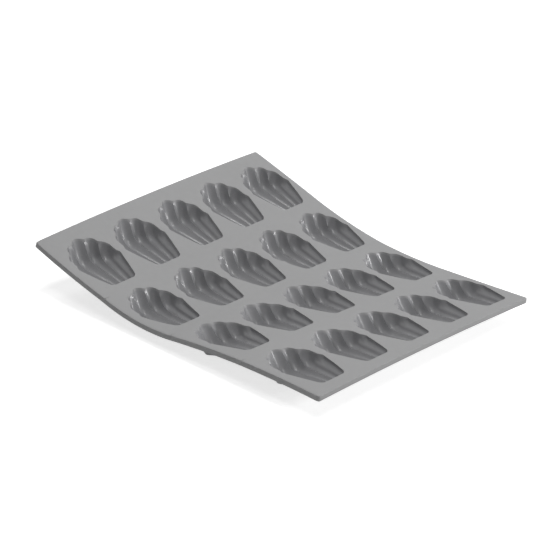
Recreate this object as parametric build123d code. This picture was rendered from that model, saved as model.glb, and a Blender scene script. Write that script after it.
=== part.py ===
from build123d import *
import math
import os

# A flexible baking mould for twenty small shell cakes, moulded in one piece from foamed silicone.
# The sheet rests flexed: its left end and, less so, its right end lift, and the bend runs askew.
# Lengths are millimetres and angles degrees. X runs along the sheet, Y across it and Z up.

# The shell cavities, as they measure on the flat sheet
columns = 5
cavity_length = 42.4
cavity_width = 30.4
cavity_depth = 11.0
narrow_end_width = 18.2
narrow_end_draft = 12.0
broad_wall_lean = 42.0
cup_wall = 1.5
foot_wall = 0.9

# The sheet and the land between and around the cups
sheet_thickness = 3.0
cup_clearance = 1.0
row_lip = 0.4
web_width = 4.0
side_lip = 2.5
end_lip = 7.0
sheet_corner_radius = 2.0

# How the sheet rests: the slopes of its front and back edge at every end of a row or a web
front_edge_slopes = (-17.5, -12.4, -15.4, 4.7, 7.3, 3.1, 2.1, -2.2)
back_edge_slopes = (-16.5, -17.9, -16.9, -8.4, -6.1, 2.2, 1.8, 2.5)
back_edge_rise = 3.3
# Towards both ends the sheet also arches up, halfway between those edges
end_arch = 1.5

# The broad end is scalloped: lobes meet at notches, three on each side of the centre line.
# The shares run from the narrow end to the broad end, and from the centre line to the side.
notch_shares = ((0.932, 0.290), (0.807, 0.678), (0.564, 0.882))
widest_share = 0.478
side_lobe_sag_shares = (0.21, 0.19, 0.12)
flute_sag_share = 0.14

# Every lobe and flute is drawn in straight facets, an even number so that one edge is its peak
inside_facets = 4
outside_facets = 2

# What cuts a piece reaches this far past it
overrun = 6.0

# Sizes that follow from those above. The centre lobe's peak is the broad end of the cavity.
rows = len(front_edge_slopes) // 2
peak_rise_share = 1 - notch_shares[0][0]
centre_lobe_sag_share = peak_rise_share * cavity_length / (notch_shares[0][1] * cavity_width)
half_length = cavity_length / 2
half_width = cavity_width / 2
half_narrow = narrow_end_width / 2
row_margin = row_lip + cup_wall
end_margin = end_lip + cup_wall
row_length = cavity_length + 2 * row_margin
end_row_length = end_margin + cavity_length + row_margin
side_margin = side_lip + cup_wall
row_pitch = row_length + web_width
column_pitch = cavity_width + 2 * cup_wall + cup_clearance
sheet_length = 2 * end_margin + cavity_length + (rows - 1) * row_pitch
sheet_width = 2 * side_margin + cavity_width + (columns - 1) * column_pitch

# The straight sides of a cavity, drawn on, meet at its focus, past the narrow end.
# Every flute of the floor and every lobe of the wall narrows towards that side.
fan_run = half_narrow * widest_share * cavity_length / (half_width - half_narrow)
focus_x = half_length + fan_run
broad_reach = fan_run + cavity_length
wall_run = math.tan(math.radians(broad_wall_lean))
wall_apex_depth = broad_reach / wall_run


def zone_lengths():
    """Lengths along the sheet of its zones, from the left: row, web, row and so on."""
    lengths = []
    for row in range(rows):
        lengths.append(end_row_length if row in (0, rows - 1) else row_length)
        lengths.append(web_width)
    return lengths[:-1]


def edge_station(slopes, run):
    """X, Z and slope of a long edge at a run from its left end. Each zone's edge is one arc."""
    x, z, slope, start = 0.0, 0.0, slopes[0], 0.0
    for zone, length in enumerate(zone_lengths()):
        step = min(length, run - start)
        if step <= 0:
            break
        before = slopes[zone]
        slope = before + (slopes[zone + 1] - before) * step / length
        half_turn = math.radians(slope - before) / 2
        chord = step * math.sin(half_turn) / half_turn if half_turn else step
        heading = math.radians(before) + half_turn
        x += chord * math.cos(heading)
        z += chord * math.sin(heading)
        start += length
    return x, z, math.radians(slope)


def edge_point(side, run, depth):
    """A point of the front edge (side -1) or the back edge (side 1), at a depth in the sheet."""
    slopes = back_edge_slopes if side > 0 else front_edge_slopes
    rise = back_edge_rise if side > 0 else 0.0
    middle_x, middle_z, _ = edge_station(slopes, sheet_length / 2)
    x, z, slope = edge_station(slopes, run)
    x += depth * math.sin(slope) - middle_x
    z += rise - depth * math.cos(slope) - middle_z
    return Vector(x, side * sheet_width / 2, z)


def sheet_point(run, across, depth):
    """A point of the sheet: straight from front to back, but for an arch that grows to the ends."""
    share = across / sheet_width
    front, back = edge_point(-1, run, depth), edge_point(1, run, depth)
    arch = end_arch * (2 * run / sheet_length - 1) ** 2 * 4 * share * (1 - share)
    return front + (back - front) * share + Vector(0, 0, arch)


def cavity_plane(row, column):
    """The plane of a cavity's rim, which touches the top face at the cavity's centre."""
    run = end_margin + half_length + row * row_pitch
    across = side_margin + half_width + column * column_pitch
    centre = sheet_point(run, across, 0.0)
    narrow, broad = (sheet_point(run + reach, across, 0.0) for reach in (half_length, -half_length))
    back, front = (sheet_point(run, across + reach, 0.0) for reach in (half_width, -half_width))
    return Plane(centre, x_dir=narrow - broad, z_dir=(narrow - broad).cross(back - front))


def zone_outline(across, start, length, above):
    """A cut through one zone: an arc on top and one below, joined at the zone's ends."""
    runs = (start, start + length / 2, start + length)
    top = [sheet_point(run, across, -above) for run in runs]
    bottom = [sheet_point(run, across, sheet_thickness) for run in runs]
    return Wire([
        Edge.make_three_point_arc(*top),
        Edge.make_line(top[-1], bottom[-1]),
        Edge.make_three_point_arc(*reversed(bottom)),
        Edge.make_line(bottom[0], top[0]),
    ])


def sheet_zone(zone, above):
    """One zone of the sheet, lofted from its front to its back edge and reaching above its top."""
    start, length = sum(zone_lengths()[:zone]), zone_lengths()[zone]
    places = (0.0, sheet_width / 2, sheet_width)
    return Solid.make_loft([zone_outline(across, start, length, above) for across in places])


def row_slab(row):
    """The sheet of one row, with the sheet's corners rounded in the first and the last row."""
    slab = sheet_zone(2 * row, 0.0)
    upright = slab.edges().filter_by(lambda edge: edge.length < 2 * sheet_thickness)
    upright = upright.sort_by(Axis.X, reverse=row > 0)
    return slab.fillet(sheet_corner_radius, upright[:2]) if row in (0, rows - 1) else slab


def bulged(corners, sag_shares, facets):
    """A run of corners with each pair joined by a bulging arc, drawn in straight facets."""
    points = [corners[0]]
    for first, last, sag_share in zip(corners, corners[1:], sag_shares):
        chord = last - first
        outward = Vector(chord.Y, -chord.X)
        for step in range(1, facets + 1):
            share = step / facets
            bulge = 4 * sag_share * share * (1 - share)
            points.append(first + chord * share + outward * bulge)
    return points


def tapered(outline, apex, near, far):
    """The solid between two like outlines, each of them the given one scaled about the apex."""
    rings = [[apex + (point - apex) * scale for point in outline] for scale in (near, far)]
    faces = [Face(Wire.make_polygon(ring)) for ring in rings]
    for index, (first, last) in enumerate(zip(*rings)):
        after = (index + 1) % len(outline)
        faces.append(Face(Wire.make_polygon([first, rings[0][after], rings[1][after], last])))
    return Solid(Shell(faces))


def scalloped_wall(spread, facets):
    """The leaning broad end: lobes that narrow towards an apex deep below the focus."""
    side = []
    for along_share, across_share in notch_shares + ((widest_share, 1.0),):
        x = half_length - along_share * cavity_length
        y = -across_share * half_width
        side.append(Vector(x * (1 + spread / half_length), y * (1 + spread / half_width)))
    other = [Vector(point.X, -point.Y) for point in reversed(side)]
    sag_shares = side_lobe_sag_shares[::-1] + (centre_lobe_sag_share,) + side_lobe_sag_shares
    lobes = bulged(other + side, sag_shares, facets)
    # The outermost facets run on past the straight sides of the floor, which cut them off
    lobes[0] += lobes[0] - lobes[1]
    lobes[-1] += lobes[-1] - lobes[-2]
    past_end = half_length + spread + overrun
    lobes += [Vector(past_end, lobes[-1].Y), Vector(past_end, lobes[0].Y)]
    top = 1 + overrun / wall_apex_depth
    bottom = 1 - (cavity_depth + spread + overrun) / wall_apex_depth
    return tapered(lobes, Vector(focus_x, 0, -wall_apex_depth), top, bottom)


def fluted_floor(spread, facets):
    """The floor: an arch of flutes that narrows to the focus, so it is shallow at that end."""
    deep_reach = broad_reach - cavity_depth * wall_run
    half_arch = half_narrow * deep_reach / fan_run
    spans = []
    for along_share, across_share in notch_shares:
        reach = fan_run + along_share * cavity_length
        spans.append(across_share * half_width * deep_reach / reach / half_arch)
    flute_sag = flute_sag_share * 2 * spans[0] * half_arch
    arch_depth = (cavity_depth - flute_sag) / math.sqrt(1 - spans[0] ** 2)
    side = []
    for span in spans + [1.0]:
        drop = math.sqrt(1 - span ** 2) * (arch_depth + spread)
        side.append(Vector(span * (half_arch + spread), -drop))
    other = [Vector(-point.X, point.Y) for point in reversed(side)]
    sag_shares = [flute_sag_share] * (2 * len(side) - 1)
    arch = bulged(other + side, sag_shares, facets)
    arch += [side[-1] + Vector(0, overrun), other[0] + Vector(0, overrun)]
    outline = [Vector(focus_x - deep_reach, point.X, point.Y) for point in arch]
    push = spread * fan_run / half_narrow
    near = (fan_run + push - spread - overrun) / (deep_reach + push)
    far = (broad_reach + push + spread + overrun) / (deep_reach + push)
    return tapered(outline, Vector(focus_x + push, 0, 0), near, far)


def shell_form(spread, facets):
    """The shell, grown by a spread: its floor within its wall, cut off at the narrow end."""
    end = half_length + spread
    size = 2 * (cavity_length + cavity_width)
    block = Solid.make_box(size, size, size, Plane((end, -size / 2, -size / 2)))
    beyond = block.rotate(Axis((end, 0, 0), (0, 1, 0)), narrow_end_draft)
    return fluted_floor(spread, facets) & scalloped_wall(spread, facets) - beyond


def loose_cup():
    """A cup up to the plane of its rim, with its foot cut off flat."""
    height = cavity_depth + foot_wall
    size = 2 * cavity_length
    room = Solid.make_box(size, size, height, Plane((-size / 2, -size / 2, -height)))
    return (shell_form(cup_wall, outside_facets) & room) - shell_form(0.0, inside_facets)


def mould():
    """Every piece of the mould by name, where the resting sheet holds it."""
    pieces = {}
    cavity, cup = shell_form(0.0, inside_facets), loose_cup()
    for row in range(rows):
        places = [Location(cavity_plane(row, column)) for column in range(columns)]
        covered = sheet_zone(2 * row, overrun)
        for column, place in enumerate(places):
            pieces[f"shell_cup_{row + 1}_{column + 1}"] = cup.moved(place) - covered
        pieces[f"row_panel_{row + 1}"] = row_slab(row) - [cavity.moved(place) for place in places]
    for web in range(1, rows):
        pieces[f"flex_web_{web}_{web + 1}"] = sheet_zone(2 * web - 1, 0.0)
    return pieces


pieces = mould()
extent = Compound(list(pieces.values())).bounding_box()
ground = Location((-extent.center().X, -extent.center().Y, -extent.min.Z))
os.makedirs("parts", exist_ok=True)
for name, piece in pieces.items():
    export_step(piece.moved(ground), f"parts/{name}.step")
print("shift to the ground", ground.position, "overall", extent.size)
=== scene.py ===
import math

import bmesh
import bpy
import numpy as np
from mathutils import Matrix, Vector


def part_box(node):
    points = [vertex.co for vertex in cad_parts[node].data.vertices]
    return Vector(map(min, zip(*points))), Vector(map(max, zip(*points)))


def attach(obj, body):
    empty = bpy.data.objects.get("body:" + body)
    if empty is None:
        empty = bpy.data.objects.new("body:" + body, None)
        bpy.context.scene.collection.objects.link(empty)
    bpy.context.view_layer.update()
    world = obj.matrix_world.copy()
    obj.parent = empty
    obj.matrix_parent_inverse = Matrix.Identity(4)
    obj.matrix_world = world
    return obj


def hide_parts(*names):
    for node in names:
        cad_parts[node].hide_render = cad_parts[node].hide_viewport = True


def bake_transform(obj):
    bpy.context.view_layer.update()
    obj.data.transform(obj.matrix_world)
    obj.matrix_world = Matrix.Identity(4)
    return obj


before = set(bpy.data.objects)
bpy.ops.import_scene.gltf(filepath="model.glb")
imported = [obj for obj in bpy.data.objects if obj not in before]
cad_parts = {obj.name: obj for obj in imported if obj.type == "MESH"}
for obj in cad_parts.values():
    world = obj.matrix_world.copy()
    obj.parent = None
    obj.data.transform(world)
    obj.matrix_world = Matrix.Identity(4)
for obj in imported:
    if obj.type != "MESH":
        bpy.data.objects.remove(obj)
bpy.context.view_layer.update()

# The webs between the rows of cups. The mould is one sheet of foamed silicone, and these narrow
# strips of it are where it bends when it is peeled off. The sheet rests curled: its edges are
# chains of arcs, one for each row and each web, and they curl differently in front and behind.
millimetre = 0.001
sheet_width = 176 * millimetre
sheet_thickness = 3.0 * millimetre
sheet_corner_radius = 1.4 * millimetre
edge_radius = 0.35 * millimetre
web_width = 4.0 * millimetre
row_lengths = tuple(length * millimetre for length in (52.8, 46.2, 46.2, 52.8))
front_slopes = np.radians((-17.5, -12.4, -15.4, 4.7, 7.3, 3.1, 2.1, -2.2))
back_slopes = np.radians((-16.5, -17.9, -16.9, -8.4, -6.1, 2.2, 1.8, 2.5))
back_rise = 3.3 * millimetre
end_arch = 1.5 * millimetre
web_steps = 10
web_columns = 60
same_place = 0.002 * millimetre
least_length = 1e-12
sharpest_smooth_angle = math.radians(40)

rows = len(row_lengths)
zone_lengths = np.insert(np.array(row_lengths), range(1, rows), web_width)
zone_starts = np.concatenate([[0.0], np.cumsum(zone_lengths)])
sheet_length = zone_starts[-1]
# The photograph has the cups and webs a little further right and back than the solids have them
layout_shift = np.array([0.85, 1.0]) * millimetre
cell_starts = zone_starts + layout_shift[0]
cell_starts[[0, -1]] = 0.0, sheet_length


def edge_line(slopes, run):
    """X, Z and slope of a long edge at each run along it. The slope grows evenly within a zone, so
    the edge is an arc there: its chord has the sine ratio of half the turn, and half its turn."""
    def stretch(zone, step):
        turn = (slopes[zone + 1] - slopes[zone]) * step / zone_lengths[zone]
        chord = step * np.sinc(turn / (2 * np.pi))
        heading = slopes[zone] + turn / 2
        return chord * np.cos(heading), chord * np.sin(heading), slopes[zone] + turn

    zones = np.arange(len(zone_lengths))
    whole_x, whole_z, _ = stretch(zones, zone_lengths)
    zone = np.clip(np.searchsorted(zone_starts, run, side="right") - 1, 0, zones[-1])
    x, z, slope = stretch(zone, run - zone_starts[zone])
    zone_x, zone_z = (np.insert(np.cumsum(whole), 0, 0.0)[zone] for whole in (whole_x, whole_z))
    return x + zone_x, z + zone_z, slope


def sheet_place(run, across, depth):
    """Places in the sheet by run, distance from the front edge, and depth square to the edges: a
    straight line from front to back, lifted by a parabola that grows with the run from the middle."""
    sides = []
    for slopes, rise in ((front_slopes, 0.0), (back_slopes, back_rise)):
        x, z, slope = edge_line(slopes, run)
        middle_x, middle_z, _ = edge_line(slopes, np.array(sheet_length / 2))
        sides.append((x - middle_x + depth * np.sin(slope), z - middle_z + rise - depth * np.cos(slope)))
    (front_x, front_z), (back_x, back_z) = sides
    share = across / sheet_width
    arch = end_arch * (2 * run / sheet_length - 1) ** 2 * 4 * share * (1 - share)
    x = front_x + (back_x - front_x) * share
    z = front_z + (back_z - front_z) * share + arch
    return np.stack([x, across - sheet_width / 2, z], axis=-1)


def turned_corner(first, second):
    """Turns a square corner into a round one: where both distances past the corner's centre are
    positive, they shrink together until their diagonal is as long as the larger of them was."""
    inside = (first > 0) & (second > 0)
    diagonal = np.maximum(np.hypot(first, second), least_length)
    scale = np.where(inside, np.maximum(first, second) / diagonal, 1.0)
    return first * scale, second * scale


def skin_place(run, across, depth, outward):
    """Places of a skin of the sheet. The plan's corners are turned, and within the edge radius of the
    outline the skin drops inwards as a quarter circle. Outward is -1 for the top skin, 1 below."""
    half_length, half_width = sheet_length / 2, sheet_width / 2
    past_end = np.abs(run - half_length) - half_length + sheet_corner_radius
    past_side = np.abs(across - half_width) - half_width + sheet_corner_radius
    past_end, past_side = turned_corner(past_end, past_side)
    run = half_length + np.sign(run - half_length) * (past_end + half_length - sheet_corner_radius)
    across = half_width + np.sign(across - half_width) * (past_side + half_width - sheet_corner_radius)
    beyond = np.hypot(np.maximum(past_end, 0), np.maximum(past_side, 0))
    inside = sheet_corner_radius - beyond - np.minimum(np.maximum(past_end, past_side), 0)
    lack = np.clip(edge_radius - inside, 0, edge_radius)
    drop = edge_radius - np.sqrt(edge_radius ** 2 - lack ** 2)
    return sheet_place(run, across, depth - outward * drop)


def quads(grid):
    """The corner numbers of every cell of a grid of point numbers."""
    return np.stack([grid[:-1, :-1], grid[1:, :-1], grid[1:, 1:], grid[:-1, 1:]], axis=-1).reshape(-1, 4)


def closed_piece(name, parts):
    """One closed mesh from parts, each a top skin and a bottom skin of the same cells: their cells,
    the bottom's turned over, and a wall between the two skins at each of the border edges given."""
    points, faces, hollow, count = [], [], [], 0
    for top, bottom, cells, border, depth_share in parts:
        below = count + len(top)
        points += [top, bottom]
        first, second = border.T
        walls = np.column_stack([second + count, first + count, first + below, second + below])
        faces += [cells + count, cells[:, ::-1] + below, walls]
        hollow += [depth_share, np.zeros(len(bottom))]
        count = below + len(bottom)
    mesh = bpy.data.meshes.new(name)
    mesh.from_pydata(np.concatenate(points).tolist(), [], np.concatenate(faces).tolist())
    mesh.attributes.new("hollow", "FLOAT", "POINT").data.foreach_set("value", np.concatenate(hollow))
    work = bmesh.new()
    work.from_mesh(mesh)
    bmesh.ops.remove_doubles(work, verts=work.verts, dist=same_place)
    bmesh.ops.recalc_face_normals(work, faces=work.faces)
    work.to_mesh(mesh)
    work.free()
    mesh.shade_smooth()
    mesh.set_sharp_from_angle(angle=sharpest_smooth_angle)
    piece = bpy.data.objects.new(name, mesh)
    bpy.context.collection.objects.link(piece)
    return piece


# Foamed silicone is matt and light grey where the mould's top was struck off, and a closer, smoother
# skin where it lay against the polished dies of the cavities, whose colour is darker as painted shade. Its
# pores show only close up.
pore_size, mottle_size, drift_size = 0.35 * millimetre, 4.0 * millimetre, 45 * millimetre
tone_change = 0.10
top_roughness, hollow_smoothing = 0.60, 0.35
pore_roughness, mottle_roughness = 0.15, 0.10
hollow_pore_loss, mottle_height = 0.6, 0.3
relief_strength, relief_distance = 0.35, 0.10 * millimetre
silicone_ior = 1.41
top_grey = (0.340, 0.340, 0.343, 1.0)
# The darker grey of the cavities is painted shade, for the light that falls less into them
hollow_painted_shade_grey = (0.272, 0.272, 0.281, 1.0)


class Signal:
    """The output of a shader node. Arithmetic with it adds Math nodes to its tree."""

    def __init__(self, tree, socket):
        self.tree, self.socket = tree, socket

    def worked(self, operation, first, second):
        return self.tree.node("ShaderNodeMath", {"operation": operation}, {0: first, 1: second})

    def __add__(self, other):
        return self.worked("ADD", self, other)

    def __sub__(self, other):
        return self.worked("SUBTRACT", self, other)

    def __rsub__(self, other):
        return self.worked("SUBTRACT", other, self)

    def __mul__(self, other):
        return self.worked("MULTIPLY", self, other)

    __radd__ = __add__
    __rmul__ = __mul__


class Finish:
    """A material or a world, whose nodes all come from one method."""

    def __init__(self, owner):
        owner.use_nodes = True
        self.owner, self.nodes, self.links = owner, owner.node_tree.nodes, owner.node_tree.links
        self.nodes.clear()

    def node(self, kind, settings=None, inputs=None, output=0):
        made = self.nodes.new(kind)
        for setting, value in (settings or {}).items():
            setattr(made, setting, value)
        for key, value in (inputs or {}).items():
            if isinstance(value, Signal):
                self.links.new(value.socket, made.inputs[key])
            else:
                made.inputs[key].default_value = value
        return Signal(self, made.outputs[output]) if made.outputs else made

    def noise(self, place, size, detail=2.0):
        """Soft noise between 0 and 1 whose blots are about the given size in metres."""
        settings = {"noise_dimensions": "3D"}
        inputs = {"Vector": place, "Scale": 1 / size, "Detail": detail}
        return self.node("ShaderNodeTexNoise", settings, inputs)

    def mixed(self, share, first, second, blend="MIX"):
        settings = {"data_type": "RGBA", "blend_type": blend}
        return self.node("ShaderNodeMix", settings, {0: share, 6: first, 7: second}, output=2)


silicone = Finish(bpy.data.materials.new("foamed_silicone"))
surface_place = silicone.node("ShaderNodeTexCoord", output="Object")
hollow = silicone.node("ShaderNodeAttribute", {"attribute_name": "hollow"}, output="Fac")
pores = silicone.noise(surface_place, pore_size, 3.0)
mottle = silicone.noise(surface_place, mottle_size, 3.0)
drift = silicone.noise(surface_place, drift_size, 1.0)
# Painted shade: the colour goes from the top's grey to the cavities' darker grey as the hollow share rises
grey = silicone.mixed(hollow, top_grey, hollow_painted_shade_grey)
tone = (mottle - 0.5) * tone_change + (drift - 0.5) * tone_change + (pores - 0.5) * tone_change + 1.0
tone_colour = silicone.node("ShaderNodeCombineColor", inputs={0: tone, 1: tone, 2: tone})
coloured = silicone.mixed(1.0, grey, tone_colour, "MULTIPLY")
roughness = (top_roughness - hollow * hollow_smoothing
             + (pores - 0.5) * pore_roughness + (mottle - 0.5) * mottle_roughness)
height = pores * (1.0 - hollow * hollow_pore_loss) + mottle * mottle_height
relief = silicone.node("ShaderNodeBump", inputs={
    "Strength": relief_strength, "Distance": relief_distance, "Height": height})
shader = silicone.node("ShaderNodeBsdfPrincipled", inputs={
    "Base Color": coloured, "Roughness": roughness, "Normal": relief, "IOR": silicone_ior})
silicone.node("ShaderNodeOutputMaterial", inputs={"Surface": shader})

web_shares = np.linspace(0, 1, web_steps + 1)
border_steps = np.array([0, 0.03, 0.09, 0.19, 0.35]) * millimetre
border_margin = 1.5 * millimetre
middle_steps = np.linspace(border_margin, sheet_width - border_margin, web_columns)
across_steps = np.concatenate([border_steps, middle_steps, sheet_width - border_steps[::-1]])
web_numbers = np.arange(len(web_shares) * len(across_steps)).reshape(len(web_shares), -1)
web_rim = np.concatenate([
    web_numbers[:-1, 0], web_numbers[-1, :-1], web_numbers[:0:-1, -1], web_numbers[0, :0:-1]])
web_border = np.column_stack([web_rim, np.roll(web_rim, -1)])

web_skins = []
for web in range(1, rows):
    runs = cell_starts[2 * web - 1] + web_shares * web_width
    run, across = np.meshgrid(runs, across_steps, indexing="ij")
    top = skin_place(run, across, 0.0, -1)
    bottom = skin_place(run, across, sheet_thickness, 1)
    web_skins.append((top, bottom))

# The sheet's formula has its origin at the sheet's middle, and this puts it where the frame has it
corner_runs, corner_across = np.meshgrid(zone_starts[1:3], across_steps, indexing="ij")
first_web = np.vstack([sheet_place(corner_runs, corner_across, depth).reshape(-1, 3)
                       for depth in (0.0, sheet_thickness)])
frame_low, frame_high = (np.array(corner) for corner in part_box("flex_web_1_2"))
shift = (frame_low + frame_high - first_web.min(axis=0) - first_web.max(axis=0)) / 2

for web, (top, bottom) in enumerate(web_skins, start=1):
    name = f"web_{web}_{web + 1}"
    ends = [(top[side] + bottom[side]) / 2 + shift for side in (0, -1)]
    along = ends[1].mean(axis=0) - ends[0].mean(axis=0)
    along /= np.linalg.norm(along)
    # The last point of its left end and the first of its right end, along the web, which nothing uses
    turns = [end.mean(axis=0) + along * inner(((end - end.mean(axis=0)) @ along))
             for end, inner in zip(ends, (np.max, np.min))]
    flat_top, flat_bottom = top.reshape(-1, 3) + shift, bottom.reshape(-1, 3) + shift
    flat_land = np.zeros(len(flat_top))
    piece = closed_piece(name, [(flat_top, flat_bottom, quads(web_numbers), web_border, flat_land)])
    piece.data.materials.append(silicone.owner)
    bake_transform(piece)
    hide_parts(f"flex_web_{web}_{web + 1}")

# The rows of cups. Each cavity is a fluted shell: flutes fan out from the narrow end and rise as
# lobes of the scalloped broad end, with ridges between them. The foam is moulded to a thin wall, so
# the underside is the same shape, grown by the wall, fluted less and cut off flat at its foot.
columns = 5
cavity_length = 42.4 * millimetre
cavity_width = 30.4 * millimetre
cavity_depth = 11.0 * millimetre
narrow_end_width = 18.2 * millimetre
narrow_corner_radius = 2.2 * millimetre
narrow_pinch_share = 0.055
pinch_length = 11 * millimetre
narrow_draft = math.radians(12)
broad_lean = math.radians(42)
cup_wall = 1.5 * millimetre
foot_wall = 0.9 * millimetre
notch_shares = ((0.932, 0.290), (0.807, 0.678), (0.564, 0.882))
widest_share = 0.478
lobe_sags = (0.25, 0.21, 0.12)
# From here to the wall relief below, the values are set against the photograph's shading.
# They make the flutes about 1 mm deeper than those of the solids
flute_sags = (0.34, 0.32, 0.17)
centre_flute_sag = 0.31
inside_blend_power = 4.2
inside_deepening = 1.09
inside_wall_relief = 0.42
outside_blend_power = 24
outside_deepening = 1.04
outside_wall_relief = 0.20
underside_fillet = 0.8 * millimetre
flute_steps = 8
outer_flute_steps = flute_steps + 3
outline_steps = 40
least_depth = 1e-9
full_hollow_depth = 1.2 * millimetre
soft_rounds = 1
# Distances at which the grid's lines lie near the narrow end, near the lobes and on the land
narrow_steps = np.array([0, 0.03, 0.08, 0.16, 0.28, 0.45, 0.7, 1.0, 1.35, 1.8, 2.4, 3.2, 4.2]) * millimetre
broad_steps = np.array([2.2, 1.5, 1.0, 0.65, 0.38, 0.16, 0]) * millimetre
floor_steps = 26
rim_steps = np.array([0.12, 0.28, 0.50, 0.80]) * millimetre
land_shares = (0.25, 0.5, 0.75)
outer_steps = np.array([0.35, 0.19, 0.09, 0.03, 0]) * millimetre
corner_draw = 4.0 * millimetre
ray_centre = np.array([-5.0, 0.0]) * millimetre

half_length, half_width, half_narrow = cavity_length / 2, cavity_width / 2, narrow_end_width / 2
fan_run = half_narrow * widest_share * cavity_length / (half_width - half_narrow)
side_slope = half_narrow / fan_run
broad_reach = fan_run + cavity_length
deep_reach = broad_reach - cavity_depth * math.tan(broad_lean)
column_pitch = 34.4 * millimetre
side_margin = 4.0 * millimetre
column_start = side_margin + half_width
row_margin = 1.9 * millimetre


def bulged(corners, sags, shares):
    """A chain of parabolic arcs through the corners: each bulges by its sag times its chord."""
    first, last = corners[:-1, None], corners[1:, None]
    chord = last - first
    outward = np.stack([chord[..., 1], -chord[..., 0]], axis=-1)
    bulge = 4 * np.asarray(sags)[:, None, None] * shares[:, None] * (1 - shares[:, None])
    return (first + chord * shares[:, None] + outward * bulge).reshape(-1, 2)


def shell_grid(spread, blend_power, deepening, wall_relief):
    """X, Y and depth of the shell, grown by a spread, on a grid that fans out from its focus. Its
    depth is the least of three, blended by a power: the fluted floor, whose arch grows with the
    distance from the focus, the leaning wall under the lobes, and the narrow end's wall. The first
    two are deepened by a factor, and the wall is hollowed under each lobe by the wall relief."""
    push = spread / side_slope
    focus = half_length + fan_run + push
    notch_x = half_length - np.array([along for along, _ in notch_shares] + [widest_share]) * cavity_length
    notch_y = np.array([across for _, across in notch_shares] + [1.0]) * half_width
    notch_q = notch_y / (side_slope * (half_length + fan_run - notch_x))
    # The arch of flutes, as seen along the shell where it is deepest
    first_sag = centre_flute_sag * 2 * notch_q[0] * side_slope * deep_reach
    arch_depth = (cavity_depth - first_sag) / math.sqrt(1 - notch_q[0] ** 2) + spread
    half_arch = side_slope * (deep_reach + push)
    ridge_q = np.concatenate([-notch_q[::-1], notch_q])
    ridges = np.column_stack([ridge_q * half_arch, -arch_depth * np.sqrt(np.maximum(1 - ridge_q ** 2, 0))])
    fine = np.linspace(0, 1, outline_steps, endpoint=False)
    every_sag = flute_sags[::-1] + (centre_flute_sag,) + flute_sags
    flutes = np.vstack([bulged(ridges, every_sag, fine), ridges[-1:]])
    # The outline of lobes, as seen from above
    grow_x, grow_y = 1 + spread / half_length, 1 + spread / half_width
    outline = np.column_stack([np.concatenate([notch_x[::-1], notch_x]) * grow_x,
                               np.concatenate([-notch_y[::-1], notch_y]) * grow_y])
    centre_sag = (1 - notch_shares[0][0]) * cavity_length / (notch_shares[0][1] * cavity_width)
    sags = lobe_sags[::-1] + (centre_sag,) + lobe_sags
    lobes = np.vstack([bulged(outline[::-1], sags, fine), outline[:1]])[::-1]
    lobe_reach = focus - lobes[:, 0]
    lobe_q = lobes[:, 1] / (side_slope * lobe_reach)
    # Grid lines across: even steps over each flute, closer towards the rim over the outer two
    even = np.arange(flute_steps) / flute_steps
    closing = 1 - (1 - np.arange(outer_flute_steps) / outer_flute_steps) ** 2
    inner_lines = bulged(ridges[1:-1], every_sag[1:-1], even)[:, 0]
    outer_line = bulged(ridges[-2:], every_sag[-1:], closing)[:, 0]
    lines = np.concatenate([-ridges[-1:, 0], -outer_line[:0:-1], inner_lines, outer_line, ridges[-1:, 0]])
    q = lines / half_arch
    flute_slope = -np.interp(q, flutes[:, 0] / half_arch, flutes[:, 1]) / (deep_reach + push)
    rim_reach = np.interp(np.abs(q), np.maximum.accumulate(lobe_q[lobe_q >= 0]), lobe_reach[lobe_q >= 0])
    # The wall under the lobes keeps its flutes all the way down: each hollows it in a parabola
    flute_place = np.interp(lines, ridges[:, 0], np.arange(len(ridges))) % 1
    wall_flutes = 1 + wall_relief * (4 * flute_place * (1 - flute_place) - 0.5)
    # Grid lines along: close together at both ends, even over the floor
    narrow_reach = fan_run + push - spread
    floor_shares = np.linspace(0, 1, floor_steps + 1)[1:-1]
    start, end = narrow_reach + narrow_steps[-1], rim_reach[:, None] - broad_steps[0]
    reach = np.hstack([np.broadcast_to(narrow_reach + narrow_steps, (len(q), len(narrow_steps))),
                       start + (end - start) * floor_shares, rim_reach[:, None] - broad_steps])
    depths = np.stack([
        deepening * flute_slope[:, None] * reach,
        (deepening * wall_flutes[:, None] * broad_reach / math.tan(broad_lean)
         * (1 - reach / rim_reach[:, None])),
        (reach - narrow_reach) / math.tan(narrow_draft)])
    depth = (np.maximum(depths, least_depth) ** -blend_power).sum(axis=0) ** (-1 / blend_power)
    x, y = focus - reach, side_slope * q[:, None] * reach
    # The narrow end's two corners are rounded in plan
    radius = narrow_corner_radius + spread
    past_end = x - (half_length + spread) + radius
    past_side = np.abs(y) - side_slope * reach + radius
    past_end, past_side = turned_corner(past_end, past_side)
    x = past_end + half_length + spread - radius
    y = np.sign(y) * (past_side + side_slope * reach - radius)
    # Towards the narrow end the straight sides draw in a little
    pinch = np.clip((x - half_length + pinch_length) / pinch_length, 0, 1)
    return x, y * (1 - narrow_pinch_share * pinch ** 2), depth


def cell_faces(shape, levels):
    """The quads of a cavity's grid and of the rings of land around it, the rim's point numbers in
    order round the grid, and those of the outermost ring."""
    grid = np.arange(shape[0] * shape[1]).reshape(shape)
    rim = np.concatenate([grid[:-1, 0], grid[-1, :-1], grid[:0:-1, -1], grid[0, :0:-1]])
    rings = np.vstack([rim, grid.size + np.arange(levels * rim.size).reshape(levels, -1)])
    cells = np.vstack([quads(grid), quads(np.hstack([rings, rings[:, :1]]))[:, ::-1]])
    return cells, rim, rings[-1]


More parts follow.
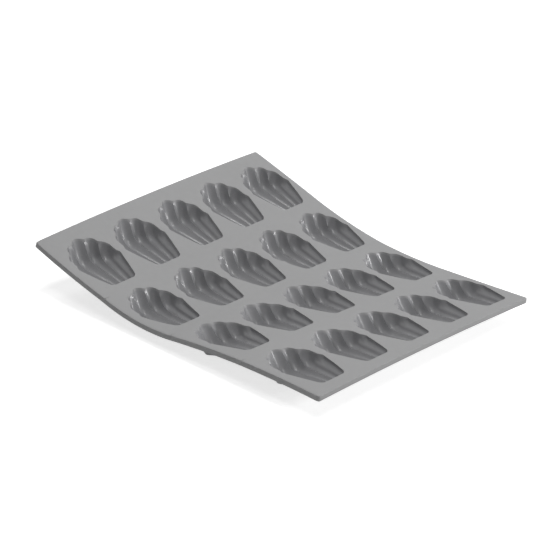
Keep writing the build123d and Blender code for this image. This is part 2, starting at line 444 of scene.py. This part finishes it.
def cell_skin(shell, base, low, high, rim):
    """Points of one cavity and its land in the flat: the shell's grid, then rings of land along rays
    from a centre within the shell, from its rim to the cell's rectangular border."""
    x, y, depth = (values.ravel() for values in shell)
    inner = np.column_stack([x, y])[rim]
    ray = inner - ray_centre
    with np.errstate(divide="ignore"):
        share = np.where(ray > 0, high - ray_centre, ray_centre - low) / np.abs(ray)
    outer = ray_centre + ray * share.min(axis=1)[:, None]
    for corner in ((low[0], low[1]), (low[0], high[1]), (high[0], low[1]), (high[0], high[1])):
        outer[np.argmin(np.hypot(*(outer - corner).T))] = corner
    # Near its corners the points of the border draw together, to carry the sheet's rounded edge
    gap = np.minimum(outer - low, high - outer)
    drawn = np.where(gap < corner_draw, gap ** 2 / corner_draw, gap)
    outer = np.where(outer - low < high - outer, low + drawn, high - drawn)
    length = np.hypot(*(outer - inner).T)
    scale = np.minimum(1, length / (2 * (rim_steps[-1] + outer_steps[0])))
    near, far = rim_steps[:, None] * scale, length - outer_steps[:, None] * scale
    land = near[-1] + (far[0] - near[-1]) * np.array(land_shares)[:, None]
    ring_share = np.vstack([near, land, far]) / length
    rings = inner + (outer - inner) * ring_share[..., None]
    flat = np.vstack([np.column_stack([x, y]), rings.reshape(-1, 2)])
    return np.column_stack([flat, np.concatenate([depth, np.full(rings.shape[0] * rings.shape[1], base)])])


def softened(points, cells, held):
    """Rims and ridges as foam leaves a die: in each round, each point goes halfway to the mean of
    its neighbours, except those on the cell's border."""
    pairs = np.unique(np.sort(np.vstack([cells[:, [side, (side + 1) % 4]] for side in range(4)])), axis=0)
    pairs = np.vstack([pairs, pairs[:, ::-1]])
    neighbours = np.bincount(pairs[:, 0])
    for _ in range(soft_rounds):
        total = np.stack([np.bincount(pairs[:, 0], points[pairs[:, 1], axis]) for axis in range(3)], axis=1)
        moved = (points + total / neighbours[:, None]) / 2
        moved[held] = points[held]
        points = moved
    return points


inside = shell_grid(0.0, inside_blend_power, inside_deepening, inside_wall_relief)
outside = shell_grid(cup_wall, outside_blend_power, outside_deepening, outside_wall_relief)
foot_depth = cavity_depth + foot_wall
# Below the sheet the cup leaves its flat underside in a fillet
nearness = np.abs(outside[2] - sheet_thickness)
fillet = np.maximum(underside_fillet - nearness, 0) ** 2 / (4 * underside_fillet)
joined = np.maximum(outside[2], sheet_thickness) + fillet
outside = outside[0], outside[1], np.minimum(joined, foot_depth)
levels = len(rim_steps) + len(land_shares) + len(outer_steps)
cells, rim, border = cell_faces(inside[0].shape, levels)

for row in range(rows):
    row_start, row_end = cell_starts[2 * row], cell_starts[2 * row + 1]
    centre_run = row_end - row_margin - half_length if row == 0 else row_start + row_margin + half_length
    parts = []
    for column in range(columns):
        centre_across = column_start + column * column_pitch + layout_shift[1]
        low = np.array([row_start - centre_run, -column_pitch / 2])
        high = np.array([row_end - centre_run, column_pitch / 2])
        if column == 0:
            low[1] = -centre_across
        if column == columns - 1:
            high[1] = sheet_width - centre_across
        skins = []
        for shell, base, outward in ((inside, 0.0, -1), (outside, sheet_thickness, 1)):
            flat = cell_skin(shell, base, low, high, rim)
            soft = softened(flat, cells, border)
            placed = skin_place(soft[:, 0] + centre_run, soft[:, 1] + centre_across, soft[:, 2], outward)
            skins.append((flat, soft, placed + shift))
        plan = skins[0][0][border, :2]
        pairs = np.column_stack([border, np.roll(border, -1)])
        on_wall = np.zeros(len(border), bool)
        sides = [(0, low[0]), (0, high[0])]
        sides += [(1, low[1])] if column == 0 else []
        sides += [(1, high[1])] if column == columns - 1 else []
        for axis, limit in sides:
            at_limit = np.abs(plan[:, axis] - limit) < same_place
            on_wall |= at_limit & np.roll(at_limit, -1)
        # The hollow share, full a little way down into a cavity: it smooths the skin, and darkens the colour
        # there as painted shade
        hollow_share = np.clip(skins[0][1][:, 2] / full_hollow_depth, 0, 1)
        hollow_share = hollow_share ** 2 * (3 - 2 * hollow_share)
        parts.append((skins[0][2], skins[1][2], cells, pairs[on_wall], hollow_share))
    piece = closed_piece(f"row_{row + 1}_moulding", parts)
    piece.data.materials.append(silicone.owner)
    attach(piece, f"row_{row + 1}")
    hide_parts(f"row_panel_{row + 1}",
                *(f"shell_cup_{row + 1}_{column + 1}" for column in range(columns)))

# The studio: a white floor that keeps a soft shadow, and a white surround. Rays from the camera,
# from gloss and through glass see them white. The lamps do nearly all of the lighting.
floor_size = 6.0
floor_drop = 0.22 * millimetre
floor_colour = (0.80, 0.80, 0.80, 1.0)
floor_glow = 0.72
surround_level = 0.03
lamp_distance = 1.6


def seen_rays(finish):
    """1 for the rays that see the studio white."""
    return finish.node("ShaderNodeLightPath", output="Is Camera Ray") + finish.node(
        "ShaderNodeLightPath", output="Is Glossy Ray") + finish.node(
        "ShaderNodeLightPath", output="Is Transmission Ray")


mesh = bpy.data.meshes.new("studio_floor")
half_floor = floor_size / 2
floor_corners = [(-half_floor, -half_floor, -floor_drop), (half_floor, -half_floor, -floor_drop),
                 (half_floor, half_floor, -floor_drop), (-half_floor, half_floor, -floor_drop)]
mesh.from_pydata(floor_corners, [], [(0, 1, 2, 3)])
floor = bpy.data.objects.new("studio_floor", mesh)
bpy.context.collection.objects.link(floor)
paper = Finish(bpy.data.materials.new("studio_paper"))
matt = paper.node("ShaderNodeBsdfDiffuse", inputs={"Color": floor_colour})
glow = paper.node("ShaderNodeEmission", inputs={"Strength": seen_rays(paper) * floor_glow})
paper.node("ShaderNodeOutputMaterial", inputs={"Surface": paper.node(
    "ShaderNodeAddShader", inputs={0: matt, 1: glow})})
floor.data.materials.append(paper.owner)

world = bpy.context.scene.world or bpy.data.worlds.new("studio")
bpy.context.scene.world = world
surround = Finish(world)
level = seen_rays(surround) * (1 - surround_level) + surround_level
background = surround.node("ShaderNodeBackground", inputs={"Color": (1.0, 1.0, 1.0, 1.0), "Strength": level})
surround.node("ShaderNodeOutputWorld", inputs={"Surface": background})

# The lamps, listed with the turn clockwise from the back and the height in degrees, the side in
# metres, and the watts of each
for name, turn, height, size, power in (
        ("left_rear_light", 315, 45, 0.45, 3.6), ("rear_light", 0, 45, 0.45, 0.6),
        ("key_light", 50, 22, 0.22, 9.5), ("right_front_light", 135, 60, 0.45, 4.0),
        ("left_front_light", 225, 15, 0.45, 0.8), ("top_light", 0, 90, 0.45, 8.6),
        ("glint_light", 45, 14, 0.06, 3.2)):
    turn, height = math.radians(turn), math.radians(height)
    lamp_place = lamp_distance * Vector(
        (math.sin(turn) * math.cos(height), math.cos(turn) * math.cos(height), math.sin(height)))
    lamp = bpy.data.lights.new(name, "AREA")
    lamp.size, lamp.energy = size, power
    light = bpy.data.objects.new(name, lamp)
    light.location = lamp_place
    light.rotation_euler = lamp_place.to_track_quat("Z", "Y").to_euler()
    bpy.context.collection.objects.link(light)

# The camera, at the photograph's viewing angle
camera_place = Vector((589.14, -687.91, 421.22)) * millimetre
camera_azimuth, camera_elevation, camera_roll = (math.radians(angle) for angle in (40.615, 24.153, -3.436))
sensor_width = 36.0
focal_pixels, frame_pixels = 1800.0, 560.0

forward = Vector((-math.sin(camera_azimuth) * math.cos(camera_elevation),
                  math.cos(camera_azimuth) * math.cos(camera_elevation), -math.sin(camera_elevation)))
level_right = forward.cross(Vector((0, 0, 1))).normalized()
level_up = level_right.cross(forward)
right = level_right * math.cos(camera_roll) - level_up * math.sin(camera_roll)
up = level_up * math.cos(camera_roll) + level_right * math.sin(camera_roll)
camera_data = bpy.data.cameras.new("camera")
camera_data.sensor_width = sensor_width
camera_data.lens = sensor_width * focal_pixels / frame_pixels
camera = bpy.data.objects.new("camera", camera_data)
camera.matrix_world = Matrix.Translation(camera_place) @ Matrix((right, up, -forward)).transposed().to_4x4()
bpy.context.collection.objects.link(camera)
bpy.context.scene.camera = camera
bpy.context.scene.view_settings.view_transform = "Standard"
